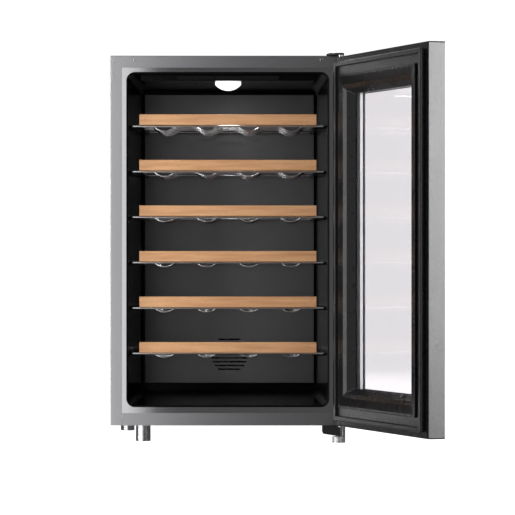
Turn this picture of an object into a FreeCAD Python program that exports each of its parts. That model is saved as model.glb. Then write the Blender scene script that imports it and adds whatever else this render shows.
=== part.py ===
import FreeCAD, Part
import math
import os
from FreeCAD import Vector

# Free-standing wine cooler, millimetres.
# Built with x across the cabinet from its middle, y = 0 on the cabinet's front face and growing
# towards the back, and z = 0 on the floor. The finished model is then moved so that its origin
# is the middle of the cabinet's underside. The door is built shut and turned open at the end.

# ---- cabinet ----
cab_width = 480.0
cab_depth = 500.0
back_recess = 45.0        # back sheet ahead of the side sheets' rear edges
cab_height = 753.0        # without the feet
foot_height = 33.3
sheet = 1.0               # folded steel sheet
flange_width = 24.5       # front edge of the side and top sheet
rail_height = 25.5        # front rail under the opening
rail_foot = 24.0          # rail's fold under the cabinet
rail_seam = 0.6           # visible joint at the rail's ends
fold_radius = 2.0
seam = 0.3                # visible joint between two pieces
fit_gap = 0.2             # play between pieces that sit together

# ---- lined compartment ----
liner_half_width = 203.0  # at the front
liner_floor = 41.0        # front edge of the floor above the cabinet's underside
liner_roof = 37.0         # front edge of the roof below the cabinet's top
liner_depth = 360.0
liner_wall = 2.0
liner_lip = 3.5
lip_front = 0.6           # lip's front behind the cabinet's front face
lip_round = 2.6           # rounding of the lip round the opening
liner_radius = 14.0
draft_side = 17.7         # how far each wall leans in by the back
draft_roof = 17.7
draft_floor = 14.4
trim_thickness = 2.0
trim_hidden = 14.0        # width of trim and liner flange behind the front sheet

# ---- machine niche at the back ----
niche_depth = 100.0
niche_height = 184.0

# ---- back wall of the compartment ----
panel_gap = 20.0          # air space behind the back panel
panel_sheet = 1.5
panel_half_width = 182.0
panel_bottom = 16.6       # above the floor at the back
panel_top = 6.3           # below the roof at the back

# ---- shelves ----
shelf_count = 6
top_board_drop = 139.9    # cabinet top down to the top board's lower edge
low_board_rise = 106.6    # front edge of the floor up to the lowest board's lower edge
board_width = 362.0
board_height = 21.5
board_thickness = 18.0
board_setback = 22.0       # behind the cabinet's front face
rack_half_width = 177.0   # middle of a side rod
rack_ear = 18.0           # how far the front rod runs past the side rods
ear_clearance = 3.0       # front rod to the runners' front ends
front_wire = 4.5
side_wire = 4.4           # rack's side and rear rods
wave_wire = 3.2
wave_count = 6
bottle_pitch = 87.0
bottle_count = 4
dip_radius = 30.0
crest_radius = 20.0
dip_depth = 12.0
weld = 0.3                # how far welded wires sink into each other
panel_clearance = 9.0     # rack's end to the back panel
runner_sheet = 2.0
runner_play = 0.35

# ---- door ----
door_top_gap = 3.6        # cabinet's top above the door's top
door_thickness = 33.0
door_open_angle = 109.5
gasket_depth = 13.7
seal_gap = 0.3            # gasket face to the cabinet when shut
hinge_inset = 11.0        # hinge axis from the cabinet's side
hinge_forward = 17.0      # hinge axis in front of the cabinet
window_edge = 78.0        # frame width round the window
door_skin = 1.5
pane = 4.0
pane_edge = 64.3          # glass edge from the door's edge
pane_back = 10.0          # inner pane's face ahead of the door's back
gasket_outer = 12.0       # gasket's outer edge from the door's edge
gasket_inner = 21.5
gasket_round = 1.6        # rounding along the sealing face's edges
crown_round = 1.4         # rounding along the surround's raised rim
crown_height = 13.2       # rim above the door's back
surround_outer = 39.0
rim_inner = 44.0          # flat rim ends and the gentle slope begins
slope_inner = 60.0        # gentle slope ends and the knee begins
slope_height = 11.0       # above the door's back
knee_inner = 68.0         # knee ends and the reveal down to the pane begins
knee_height = 6.0
spacer_strip_depth = 6.3  # bright bar of the spacer, next to the outer pane
cap_sheet = 2.0           # black caps over the door's ends
socket_wall = 4.0
socket_depth = 24.0
pin_radius = 2.5
pin_play = 0.06
pin_length = 20.0

# ---- feet ----
leg_radius = 15.0
leg_side = 66.5           # front leg from the cabinet's side
leg_back = 35.0           # from the front face
rear_foot_radius = 15.0
rear_foot_side = 18.0
rear_foot_back = 84.0     # from the cabinet's back
turn_foot_radius = 13.5
turn_foot_height = 12.0
turn_foot_offset = 4.0    # foot's axis from the hinge axis
turn_stud_radius = 3.0
knurl_count = 28
stud_radius = 4.0
stud_length = 14.0

# ---- roof housing with lamp and controls ----
housing_half_width = 178.0
housing_front = 22.0
housing_back = 200.0
housing_drop = 13.0       # below the front edge of the roof
housing_wall = 2.5
rib_offsets = (27.0, 108.0)
lamp_radius = 26.5
lamp_drop = 18.0
lamp_skirt = 6.0
lamp_back = 42.0          # lamp's middle behind the housing's front

# ---- fan ----
fan_size = 92.0
fan_depth = 13.0
fan_bore = 43.0
fan_hub = 15.0
fan_blades = 7
fan_height = 62.0         # fan's middle above the back panel's lower edge

# ---- worked-out places ----
half = cab_width / 2
z_bottom = foot_height
z_top = foot_height + cab_height
floor_front = z_bottom + liner_floor
roof_front = z_top - liner_roof
floor_back = floor_front + draft_floor
roof_back = roof_front - draft_roof
side_back = liner_half_width - draft_side
back_face = cab_depth - back_recess
back_inside = back_face - sheet
niche_front = cab_depth - niche_depth
niche_top = z_bottom + niche_height
panel_face = liner_depth - panel_gap
panel_low = floor_back + panel_bottom
panel_high = roof_back - panel_top
trim_y = sheet
liner_flange_y = sheet + trim_thickness
door_low = z_bottom
door_high = z_top - door_top_gap
door_back = -gasket_depth - seal_gap
door_front = door_back - door_thickness
hinge_x = half - hinge_inset
hinge_y = -hinge_forward
rack_front = board_setback + board_thickness + front_wire / 2
rack_back = panel_face - panel_clearance - side_wire / 2
rack_depth = rack_back - rack_front
shelf_pitch = (cab_height - top_board_drop - liner_floor - low_board_rise) / (shelf_count - 1)


def block(x0, x1, y0, y1, z0, z1):
    return Part.makeBox(x1 - x0, y1 - y0, z1 - z0, Vector(x0, y0, z0))


def rod(start, end, radius):
    return Part.makeCylinder(radius, (end - start).Length, start, end - start)


def post(x, y, z0, z1, radius):
    return rod(Vector(x, y, z0), Vector(x, y, z1), radius)


def fuse(shapes):
    return shapes[0].multiFuse(shapes[1:]).removeSplitter()


def mirrored(shape):
    return shape.mirror(Vector(0, 0, 0), Vector(1, 0, 0))


def rounded_rect(half_w, z0, z1, y, radius):
    """Closed outline in the plane y, with rounded corners."""
    turns = ((half_w - radius, z0 + radius, -90), (half_w - radius, z1 - radius, 0),
             (-half_w + radius, z1 - radius, 90), (-half_w + radius, z0 + radius, 180))
    points = []
    for cx, cz, start in turns:
        arc = []
        for step in (0, 45, 90):
            a = math.radians(start + step)
            arc.append(Vector(cx + radius * math.cos(a), y, cz + radius * math.sin(a)))
        points.append(arc)
    edges = []
    for index, arc in enumerate(points):
        edges.append(Part.Arc(*arc).toShape())
        edges.append(Part.LineSegment(arc[2], points[(index + 1) % 4][0]).toShape())
    return Part.Wire(edges)


def slab(wire, depth):
    return Part.Face(wire).extrude(Vector(0, depth, 0))


def funnel(front, back):
    return Part.makeLoft([front, back], True, True)


def bent_tube(points, bend, radius):
    """Round tube along straight runs joined by arcs of one bend radius."""
    edges = []
    start = points[0]
    for before, corner, after in zip(points, points[1:], points[2:]):
        to_before = (before - corner).normalize()
        to_after = (after - corner).normalize()
        half_angle = to_before.getAngle(to_after) / 2
        reach = bend / math.tan(half_angle)
        first = corner + to_before * reach
        last = corner + to_after * reach
        middle_way = (to_before + to_after).normalize()
        middle = corner + middle_way * (bend / math.sin(half_angle) - bend)
        edges.append(Part.LineSegment(start, first).toShape())
        edges.append(Part.Arc(first, middle, last).toShape())
        start = last
    edges.append(Part.LineSegment(start, points[-1]).toShape())
    circle = Part.Wire([Part.makeCircle(radius, points[0], points[1] - points[0])])
    return Part.Wire(edges).makePipeShell([circle], True, False)


def yz_prism(points, x0, x1):
    """Solid with one outline of (y, z) points, from x0 to x1."""
    corners = [Vector(x0, y, z) for y, z in points]
    return Part.Face(Part.makePolygon(corners + corners[:1])).extrude(Vector(x1 - x0, 0, 0))


def xy_prism(points, z0, z1):
    corners = [Vector(x, y, z0) for x, y in points]
    return Part.Face(Part.makePolygon(corners + corners[:1])).extrude(Vector(0, 0, z1 - z0))


def edges_near(shape, test):
    return [edge for edge in shape.Edges if test(edge.BoundBox)]


# ---------------------------------------------------------------- cabinet shell


def wrap_solid(inset, y0, z0, radius):
    """Box of the side and top sheet, rounded along its front folds."""
    solid = block(-half + inset, half - inset, y0, cab_depth + inset, z0, z_top - inset)
    folds = edges_near(solid, lambda b: b.YMax < y0 + 0.01 and b.ZMax > z0 + 0.01)
    return solid.makeFillet(radius, folds)


def cabinet_wrap():
    outer = wrap_solid(0, 0, z_bottom, fold_radius)
    inner = wrap_solid(sheet, sheet, z_bottom - 1, fold_radius - sheet)
    inner = inner.fuse(block(-half + sheet, half - sheet, cab_depth - 1, cab_depth + 2,
                             z_bottom - 1, z_top - sheet))
    opening = block(-half + flange_width, half - flange_width, -1, sheet + 1,
                    z_bottom - 1, z_top - flange_width)
    wrap = outer.cut(inner).cut(opening)
    for x, z in plug_places():
        wrap = wrap.cut(rod(Vector(x, -1, z), Vector(x, sheet + 1, z), plug_radius + fit_gap))
    return wrap.removeSplitter()


plug_radius = 2.3
plug_head = 3.0


def plug_places():
    """Spare hinge holes at the top corners."""
    return ((-half + 7.5, z_top - 12.5), (-half + 7.5, z_top - 44.0),
            (-half + 50.0, z_top - 7.5), (half - 50.0, z_top - 7.5))


def hinge_hole_plugs():
    plugs = []
    for x, z in plug_places():
        stem = rod(Vector(x, 0, z), Vector(x, sheet + 2, z), plug_radius)
        head = rod(Vector(x, -0.8, z), Vector(x, 0, z), plug_head)
        plugs.append(stem.fuse(head).removeSplitter())
    return Part.makeCompound(plugs)


def bottom_rail():
    x = half - flange_width - rail_seam
    face = block(-x, x, 0, sheet, z_bottom, z_bottom + rail_height)
    foot = block(-x, x, 0, rail_foot, z_bottom, z_bottom + sheet)
    return fuse([face, foot])


def front_trim():
    x = half - trim_hidden
    low = z_bottom + trim_hidden
    ring = block(-x, x, trim_y, trim_y + trim_thickness, low, z_top - trim_hidden)
    reach = liner_lip + fit_gap
    hole = rounded_rect(liner_half_width + reach, floor_front - reach, roof_front + reach,
                        trim_y - 1, liner_radius + reach)
    ring = ring.cut(slab(hole, trim_thickness + 2))
    for x, z in plug_places():
        ring = ring.cut(rod(Vector(x, 0, z), Vector(x, 5, z), plug_radius + fit_gap))
    return ring


def tub_outline(y, grow):
    """Inside of the compartment at the depth y, made larger by grow all round."""
    share = y / liner_depth
    return rounded_rect(liner_half_width - draft_side * share + grow,
                        floor_front + draft_floor * share - grow,
                        roof_front - draft_roof * share + grow, y, liner_radius + grow)


def tub(grow, y0, y1):
    return funnel(tub_outline(y0, grow), tub_outline(y1, grow))


def lip_cutters():
    """Three slopes that round the lip's inner edge."""
    steps = []
    for angle in (0, 30, 60, 90):
        a = math.radians(angle)
        steps.append((lip_front + lip_round * (1 - math.cos(a)), lip_round * (1 - math.sin(a))))
    return [funnel(tub_outline(y0, grow0), tub_outline(y1, grow1))
            for (y0, grow0), (y1, grow1) in zip(steps, steps[1:])]


def liner():
    flange_x = half - trim_hidden
    flange = block(-flange_x, flange_x, liner_flange_y, liner_flange_y + liner_wall,
                   z_bottom + trim_hidden, z_top - trim_hidden)
    lip_wire = rounded_rect(liner_half_width + liner_lip, floor_front - liner_lip,
                            roof_front + liner_lip, lip_front, liner_radius + liner_lip)
    lip = slab(lip_wire, liner_flange_y)
    shell = fuse([flange, lip, tub(liner_wall, liner_flange_y, liner_depth + liner_wall)])
    shell = shell.cut(tub(0, 0, liner_depth))
    for cutter in lip_cutters():
        shell = shell.cut(cutter)
    for x, z in plug_places():
        shell = shell.cut(rod(Vector(x, 0, z), Vector(x, 9, z), plug_radius + fit_gap))
    return shell.removeSplitter()


def insulation():
    y0 = liner_flange_y + liner_wall
    foam = block(-half + sheet, half - sheet, y0, back_inside, z_bottom + sheet, z_top - sheet)
    foam = foam.cut(tub(liner_wall, 0, liner_depth + liner_wall))
    niche = block(-half, half, niche_front - sheet, cab_depth + 1, z_bottom - 1, niche_top + sheet)
    foam = foam.cut(niche)
    for x, y in front_boss_places():
        foam = foam.cut(post(x, y, z_bottom, z_bottom + boss_height + 2, boss_radius + fit_gap))
    return foam


boss_radius = 9.0
boss_height = 18.0


def front_boss_places():
    return ((-half + leg_side, leg_back),)


def base_plate():
    y0 = rail_foot + seam
    outline = ((y0, z_bottom), (niche_front, z_bottom), (niche_front, niche_top),
               (back_face, niche_top), (back_face, niche_top + sheet),
               (niche_front - sheet, niche_top + sheet), (niche_front - sheet, z_bottom + sheet),
               (y0, z_bottom + sheet))
    plate = yz_prism(outline, -half + sheet, half - sheet)
    for x, y in front_boss_places():
        plate = plate.fuse(post(x, y, z_bottom, z_bottom + boss_height, boss_radius))
        plate = plate.cut(post(x, y, z_bottom - 1, z_bottom + boss_height - 2, stud_radius + pin_play))
    return plate.removeSplitter()


def back_sheet():
    sheet_x = half - sheet
    plate = block(-sheet_x, sheet_x, back_inside, back_face, niche_top + sheet, z_top - sheet)
    return plate


# ---------------------------------------------------------------- cold side


def back_panel():
    """Metal panel with turned-back edges, which stands off the liner's back wall."""
    x = panel_half_width
    outer = block(-x, x, panel_face, liner_depth - fit_gap, panel_low, panel_high)
    face_edges = edges_near(outer, lambda b: b.YMax < panel_face + 0.01)
    outer = outer.makeChamfer(1.2, face_edges)
    inner = block(-x + panel_sheet, x - panel_sheet, panel_face + panel_sheet, liner_depth + 1,
                  panel_low - 1, panel_high + 1)
    panel = outer.cut(inner)
    middle = panel_low + fan_height
    for step in range(-4, 5):
        z = middle + step * 8.0
        reach = math.sqrt((fan_bore - 3) ** 2 - (step * 8.0) ** 2)
        panel = panel.cut(block(-reach, reach, panel_face - 1, panel_face + 5, z - 1.6, z + 1.6))
    return panel


def evaporator():
    """Aluminium cooling plate with a raised serpentine channel, on four stand-offs."""
    y0 = panel_face + 6.0
    low = panel_low + 150
    high = panel_high - 40
    x = panel_half_width - 25
    plate = block(-x, x, y0, y0 + 1.5, low, high)
    pieces = [plate]
    rows = 8
    for row in range(rows):
        z = low + 20 + row * (high - low - 40) / (rows - 1)
        pieces.append(block(-x + 20, x - 20, y0 + 1.5, y0 + 4.5, z - 4, z + 4))
    step = (high - low - 40) / (rows - 1)
    for row in range(rows - 1):
        side = 1 if row % 2 else -1
        edge = side * (x - 20)
        z = low + 20 + row * step
        pieces.append(block(min(edge, edge - side * 8), max(edge, edge - side * 8),
                            y0 + 1.5, y0 + 4.5, z, z + step))
    for sx in (-1, 1):
        for z in (low + 8, high - 8):
            pieces.append(rod(Vector(sx * (x - 8), y0, z),
                              Vector(sx * (x - 8), liner_depth - fit_gap, z), 4))
    return fuse(pieces)


def fan_housing():
    z = panel_low + fan_height
    s = fan_size / 2
    y0 = panel_face + panel_sheet + fit_gap
    frame = block(-s, s, y0, y0 + fan_depth, z - s, z + s)
    frame = frame.cut(rod(Vector(0, y0 - 1, z), Vector(0, y0 + fan_depth - 2, z), fan_bore))
    spokes = []
    for turn in range(4):
        arm = block(fan_hub - 2, fan_bore + 1, y0 + fan_depth - 2, y0 + fan_depth, -2, 2)
        arm.rotate(Vector(0, 0, 0), Vector(0, 1, 0), 45 + 90 * turn)
        arm.translate(Vector(0, 0, z))
        spokes.append(arm)
    ring = rod(Vector(0, y0 + fan_depth - 2, z), Vector(0, y0 + fan_depth, z), fan_bore)
    frame = frame.cut(ring)
    hub_seat = rod(Vector(0, y0 + fan_depth - 2, z), Vector(0, y0 + fan_depth, z), fan_hub)
    axle = rod(Vector(0, y0 + 3, z), Vector(0, y0 + fan_depth, z), 1.5)
    lugs = []
    for sx in (-1, 1):
        for sz in (-1, 1):
            lugs.append(rod(Vector(sx * (s - 4), y0 + fan_depth, z + sz * (s - 4)),
                            Vector(sx * (s - 4), liner_depth - fit_gap, z + sz * (s - 4)), 3))
    return fuse([frame, hub_seat, axle] + spokes + lugs)


def fan_rotor():
    z = panel_low + fan_height
    y0 = panel_face + panel_sheet + fit_gap + 1.5
    length = fan_depth - 5.0
    hub = rod(Vector(0, y0, z), Vector(0, y0 + length, z), fan_hub - 1)
    blades = []
    for turn in range(fan_blades):
        blade = block(fan_hub - 3, fan_bore - 2.5, -5, 5, -0.8, 0.8)
        blade.rotate(Vector(0, 0, 0), Vector(1, 0, 0), 40)
        blade.rotate(Vector(0, 0, 0), Vector(0, 1, 0), turn * 360.0 / fan_blades)
        blade.translate(Vector(0, y0 + length / 2, z))
        blades.append(blade)
    rotor = fuse([hub] + blades)
    bore = rod(Vector(0, y0 + 1.0, z), Vector(0, y0 + length + 1, z), 1.5 + pin_play)
    return rotor.cut(bore)


# ---------------------------------------------------------------- roof housing


def roof_at(y):
    return roof_front - draft_roof * y / liner_depth


def housing_outline(y0, y1, z0, inset):
    return ((y0, z0), (y1, z0), (y1, roof_at(y1) - inset), (y0, roof_at(y0) - inset))


def control_housing():
    z0 = roof_front - housing_drop
    body = yz_prism(housing_outline(housing_front, housing_back, z0, fit_gap),
                    -housing_half_width, housing_half_width)
    w = housing_wall
    room = yz_prism(housing_outline(housing_front + w, housing_back - w - 25, z0 + w, -5),
                    -housing_half_width + w, housing_half_width - w)
    body = body.cut(room)
    window = display_block(fit_gap)
    body = body.cut(window)
    for offset in rib_offsets:
        for side in (-1, 1):
            x = side * offset
            rib = block(x - 1.2, x + 1.2, housing_front - 2.0, housing_front,
                        z0, roof_front - 1.5)
            body = body.fuse(rib)
    lamp_y = housing_front + lamp_back
    body = body.cut(post(0, lamp_y, z0 - 1, z0 + w + 1, lamp_radius - 4))
    return body.removeSplitter()


def display_block(grow):
    z0 = roof_front - housing_drop
    x = rib_offsets[1] - 4
    return block(-x - grow, x + grow, housing_front - 1, housing_front + 1.5,
                 z0 + 2.0 - grow, roof_front - 3.0 + grow)


def display_window():
    face = display_block(0)
    for side in (-1, 1):
        x = side * rib_offsets[0]
        face = face.cut(block(x - 1.6, x + 1.6, 0, housing_front + 0.2, 0, z_top))
    return face


def lamp_lens():
    z0 = roof_front - housing_drop
    y = housing_front + lamp_back
    cap = lamp_drop - lamp_skirt
    ball_radius = (lamp_radius ** 2 + cap ** 2) / (2 * cap)
    ball = Part.makeSphere(ball_radius, Vector(0, y, z0 - lamp_drop + ball_radius))
    dome = ball.common(post(0, y, z0 - lamp_drop - 1, z0 - lamp_skirt, lamp_radius))
    skirt = post(0, y, z0 - lamp_skirt, z0, lamp_radius)
    collar = post(0, y, z0, z0 + 1.5, lamp_radius - 4 - fit_gap)
    return fuse([dome, skirt, collar])


def lamp_board():
    z0 = roof_front - housing_drop + housing_wall
    y = housing_front + lamp_back
    board = block(-30, 30, y - 24, y + 24, z0, z0 + 1.6)
    chips = [post(x, y, z0 - 0.6, z0, 2.5) for x in (-12, 0, 12)]
    return fuse([board] + chips)


def control_board():
    z0 = roof_front - housing_drop + housing_wall
    board = block(-rib_offsets[1] + 8, -40, housing_front + 6, housing_front + 70, z0, z0 + 1.6)
    parts = [block(-90, -70, housing_front + 14, housing_front + 30, z0 + 1.6, z0 + 5),
             block(-62, -50, housing_front + 34, housing_front + 46, z0 + 1.6, z0 + 4)]
    return fuse([board] + parts)


# ---------------------------------------------------------------- shelves


def shelf_levels():
    """Lower edge of each shelf's board, from the top shelf down."""
    return [z_top - top_board_drop - shelf_pitch * n for n in range(shelf_count)]


def wall_at(y):
    return liner_half_width - draft_side * y / liner_depth


def rod_height(board_low):
    """Middle of a rack's frame wires."""
    return board_low - 2.2


def runner(board_low):
    """Right-hand ledge and guide that carry one rack's side rod."""
    y0 = rack_front + front_wire / 2 + ear_clearance
    y1 = panel_face - 4.0
    under = rod_height(board_low) - side_wire / 2 - runner_play
    inner = rack_half_width - side_wire
    guide = rack_half_width + side_wire / 2 + 1.2
    ledge = xy_prism(((inner, y0), (wall_at(y0) - fit_gap, y0), (wall_at(y1) - fit_gap, y1),
                      (inner, y1)), under - runner_sheet, under)
    wall = xy_prism(((guide, y0), (wall_at(y0) - fit_gap, y0), (wall_at(y1) - fit_gap, y1),
                     (guide, y1)), under, under + side_wire)
    return fuse([ledge, wall])


def right_runners():
    return Part.makeCompound([runner(level) for level in shelf_levels()])


def left_runners():
    return Part.makeCompound([mirrored(runner(level)) for level in shelf_levels()])


def wave(y, z):
    """One cross wire with a dip for each bottle."""
    turn = math.acos(1 - dip_depth / (dip_radius + crest_radius))
    reach = (dip_radius + crest_radius) * math.sin(turn)

    def on_circle(cx, cz, radius, angle):
        return Vector(cx + radius * math.sin(angle), y, cz + radius * math.cos(angle))

    edges = []
    here = Vector(-rack_half_width, y, z)
    for n in range(bottle_count):
        middle = (n - (bottle_count - 1) / 2) * bottle_pitch
        start = Vector(middle - reach, y, z)
        edges.append(Part.LineSegment(here, start).toShape())
        low = z - crest_radius
        dip_z = low + (dip_radius + crest_radius) * math.cos(turn)
        join_in = on_circle(start.x, low, crest_radius, turn)
        join_out = on_circle(middle + reach, low, crest_radius, -turn)
        edges.append(Part.Arc(start, on_circle(start.x, low, crest_radius, turn / 2),
                              join_in).toShape())
        edges.append(Part.Arc(join_in, Vector(middle, y, dip_z - dip_radius), join_out).toShape())
        here = Vector(middle + reach, y, z)
        edges.append(Part.Arc(join_out, on_circle(here.x, low, crest_radius, -turn / 2),
                              here).toShape())
    edges.append(Part.LineSegment(here, Vector(rack_half_width, y, z)).toShape())
    circle = Part.Wire([Part.makeCircle(wave_wire / 2, Vector(-rack_half_width, y, z),
                                        Vector(1, 0, 0))])
    return Part.Wire(edges).makePipeShell([circle], True, False)


def rack(board_low):
    z = rod_height(board_low)
    r = front_wire / 2
    side_r = side_wire / 2
    x = rack_half_width
    corners = [Vector(x, rack_front, z), Vector(x, rack_back, z),
               Vector(-x, rack_back, z), Vector(-x, rack_front, z)]
    pieces = []
    for start, end in zip(corners, corners[1:]):
        pieces.append(rod(start, end, side_r))
    for corner in corners[1:3]:
        pieces.append(Part.makeSphere(side_r, corner))
    ears = [Vector(side * (x + rack_ear), rack_front, z) for side in (-1, 1)]
    pieces.append(rod(ears[0], ears[1], r))
    for ear in ears:
        pieces.append(Part.makeSphere(r, ear))
    top_z = board_low + board_height * 0.6
    for side in (-1.0, -0.35, 0.35, 1.0):
        px = side * (x - 20)
        pieces.append(post(px, rack_front, z, top_z, r * 0.8))
    bar_x = x - 20
    pieces.append(rod(Vector(-bar_x, rack_front, top_z), Vector(bar_x, rack_front, top_z), r * 0.8))
    for px in (-bar_x, bar_x):
        pieces.append(Part.makeSphere(r * 0.8, Vector(px, rack_front, top_z)))
    wave_z = z + side_r + wave_wire / 2 - weld
    for n in range(wave_count):
        y = rack_front + rack_depth * (n + 0.6) / wave_count
        pieces.append(wave(y, wave_z))
    return fuse(pieces)


def board(board_low):
    x = board_width / 2
    y0 = board_setback
    y1 = board_setback + board_thickness
    plank = block(-x, x, y0, y1, board_low, board_low + board_height)
    return plank.makeFillet(0.8, edges_near(plank, lambda b: b.YMax < y0 + 0.01))


# ---------------------------------------------------------------- machine compartment


compressor_x = -70.0
compressor_y = niche_front + 50.0
compressor_radius = 44.0
compressor_length = 76.0  # between the ends' middles
plate_top = z_bottom + 2.0
grommet_height = 10.0


def compressor_plate():
    plate = block(-half + sheet, half - sheet, niche_front + seam, cab_depth - sheet,
                  z_bottom, plate_top)
    for x, y in rear_foot_places():
        plate = plate.fuse(post(x, y, plate_top, plate_top + 10, 8))
        plate = plate.cut(post(x, y, z_bottom - 1, plate_top + 9, stud_radius + pin_play))
    return plate.removeSplitter()


def grommet_places():
    return [(compressor_x + sx * 62, compressor_y + sy * 30) for sx in (-1, 1) for sy in (-1, 1)]


def compressor_grommets():
    grommets = []
    for x, y in grommet_places():
        lower = post(x, y, plate_top, plate_top + grommet_height, 8)
        grommets.append(lower)
    return Part.makeCompound(grommets)


def compressor():
    """Sealed pot on a foot plate, with three tube stubs."""
    low = plate_top + grommet_height
    foot = block(compressor_x - 74, compressor_x + 74, compressor_y - 40, compressor_y + 40, low, low + 3)
    z0 = low + 3
    z1 = low + 118
    r = compressor_radius
    e = compressor_length / 2
    middle = block(compressor_x - e, compressor_x + e, compressor_y - r, compressor_y + r, z0, z1)
    ends = [post(compressor_x + s * e, compressor_y, z0, z1, r) for s in (-1, 1)]
    pot = fuse([middle] + ends)
    rims = edges_near(pot, lambda b: b.ZMin > z1 - 0.01)
    pot = pot.makeFillet(24, rims)
    seam_z = (z0 + z1) / 2
    belt = fuse([block(compressor_x - e, compressor_x + e, compressor_y - r - 2, compressor_y + r + 2,
                       seam_z - 2, seam_z + 2)]
                + [post(compressor_x + s * e, compressor_y, seam_z - 2, seam_z + 2, r + 2)
                   for s in (-1, 1)])
    stubs = [post(x, y, z1 - 20, stub_top, tube_radius + 1) for x, y in stub_places()]
    return fuse([foot, pot, belt] + stubs)


tube_radius = 3.0
stub_top = plate_top + grommet_height + 124.0


def stub_places():
    return ((compressor_x - 30, compressor_y), (compressor_x + 10, compressor_y))


def terminal_cover():
    x0 = compressor_x + compressor_length / 2 + compressor_radius + 2 + fit_gap
    low = plate_top + grommet_height + 28
    cover = block(x0, x0 + 22, compressor_y - 22, compressor_y + 22, low, low + 48)
    return cover.makeFillet(4, edges_near(cover, lambda b: b.XMin > x0 + 21.9))


condenser_y = back_face + 12.0
condenser_half = 180.0
condenser_rows = 9
condenser_low = niche_top + 55.0
condenser_high = z_top - 70.0


def condenser():
    """Serpentine tube with upright wires, held off the back sheet by four brackets."""
    step = (condenser_high - condenser_low) / (condenser_rows - 1)
    bend = step / 2 - 0.5
    points = [Vector(-condenser_half, condenser_y, condenser_low - 20)]
    side = 1
    for row in range(condenser_rows):
        z = condenser_low + row * step
        points.append(Vector(-side * condenser_half, condenser_y, z))
        points.append(Vector(side * condenser_half, condenser_y, z))
        side = -side
    points.append(Vector(-side * condenser_half, condenser_y, condenser_high + 20))
    tube = bent_tube(points, min(bend, 14), 2.5)
    wires = []
    count = 15
    for n in range(count):
        x = (n / (count - 1) * 2 - 1) * (condenser_half - 25)
        y = condenser_y + 2.5 + 0.9 - 0.2
        wires.append(post(x, y, condenser_low - 8, condenser_high + 8, 0.9))
    brackets = []
    for sx in (-1, 1):
        for row in (1, condenser_rows - 2):
            z = condenser_low + row * step
            x = sx * (condenser_half - 12)
            brackets.append(block(x - 4, x + 4, back_face, condenser_y, z - 2, z + 2))
    return fuse([tube] + wires + brackets)


drier_x = 60.0
drier_y = niche_front + 70.0
drier_low = plate_top + 90.0
drier_high = plate_top + 150.0


def filter_drier():
    body = post(drier_x, drier_y, drier_low, drier_high, 8)
    body = body.makeChamfer(3, body.Edges[0:1] + body.Edges[2:3])
    clip = block(drier_x - 3, drier_x + 3, niche_front, drier_y - 7.5,
                 (drier_low + drier_high) / 2 - 5, (drier_low + drier_high) / 2 + 5)
    return fuse([body, clip])


def refrigerant_tubes():
    """Discharge line to the condenser and suction line up into the insulation."""
    (dx, dy), (sx, sy) = stub_places()
    run_z = stub_top + 18
    join_z = condenser_low - 20
    discharge = bent_tube([Vector(dx, dy, stub_top), Vector(dx, dy, run_z),
                           Vector(-condenser_half, dy, run_z),
                           Vector(-condenser_half, condenser_y, run_z),
                           Vector(-condenser_half, condenser_y, join_z)], 7, 2.5)
    suction = bent_tube([Vector(sx, sy, stub_top), Vector(sx, sy, stub_top + 14),
                         Vector(sx, niche_front + 8, stub_top + 14),
                         Vector(sx, niche_front + 8, niche_top)], 6, tube_radius)
    return Part.makeCompound([discharge, suction])


def power_inlet():
    """Flanged socket in the grille, low on the left; the cord is not part of the model."""
    x = -half + 50
    z = plate_top + 40
    flange = block(x - 16, x + 16, cab_depth, cab_depth + 2, z - 12, z + 12)
    body = block(x - 13.5, x + 13.5, cab_depth - 16, cab_depth, z - 9.5, z + 9.5)
    room = block(x - 11, x + 11, cab_depth - 13, cab_depth + 3, z - 7.5, z + 7.5)
    pins = [block(x + s - 1, x + s + 1, cab_depth - 14, cab_depth - 5, z - 1.5 + up, z + 1.5 + up)
            for s, up in ((-6, -2), (0, 2), (6, -2))]
    return fuse([fuse([flange, body]).cut(room)] + pins)


def drip_tray():
    x0 = 40.0
    x1 = half - 40.0
    y0 = niche_front + 6
    y1 = cab_depth - 9
    tray = block(x0, x1, y0, y1, plate_top, plate_top + 24)
    return tray.cut(block(x0 + 2, x1 - 2, y0 + 2, y1 - 2, plate_top + 2, plate_top + 30))


def machine_grille():
    x = half - sheet - fit_gap
    low = plate_top + fit_gap
    high = niche_top - 18
    plate = block(-x, x, cab_depth - 1.2, cab_depth, low, high)
    slots = []
    for row in range(7):
        z = low + 18 + row * 16
        for col in range(8):
            cx = (col - 3.5) * 54
            slots.append(block(cx - 20, cx + 20, cab_depth - 5, cab_depth + 5, z - 2.5, z + 2.5))
    x = -half + 50
    z = plate_top + 40
    hole = block(x - 14, x + 14, cab_depth - 5, cab_depth + 5, z - 10, z + 10)
    near = block(x - 20, x + 20, cab_depth - 5, cab_depth + 5, z - 16, z + 16)
    clear = [slot for slot in slots if slot.common(near).Volume < 1]
    return plate.cut(Part.makeCompound(clear)).cut(hole)


# ---------------------------------------------------------------- feet


def leg(x, y, radius, height, boss):
    body = post(x, y, 0, height - runner_play, radius)
    rim = edges_near(body, lambda b: b.ZMax < 0.01)
    body = body.makeFillet(1.5, rim)
    stud = post(x, y, height - runner_play, height + boss, stud_radius)
    return body.fuse(stud).removeSplitter()


def rear_foot_places():
    return [(s * (half - rear_foot_side), cab_depth - rear_foot_back) for s in (-1, 1)]


def front_left_leg():
    x, y = front_boss_places()[0]
    return leg(x, y, leg_radius, foot_height, stud_length)


def rear_left_foot():
    x, y = rear_foot_places()[0]
    return leg(x, y, rear_foot_radius, foot_height, stud_length - 4)


def rear_right_foot():
    x, y = rear_foot_places()[1]
    return leg(x, y, rear_foot_radius, foot_height, stud_length - 4)


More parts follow.
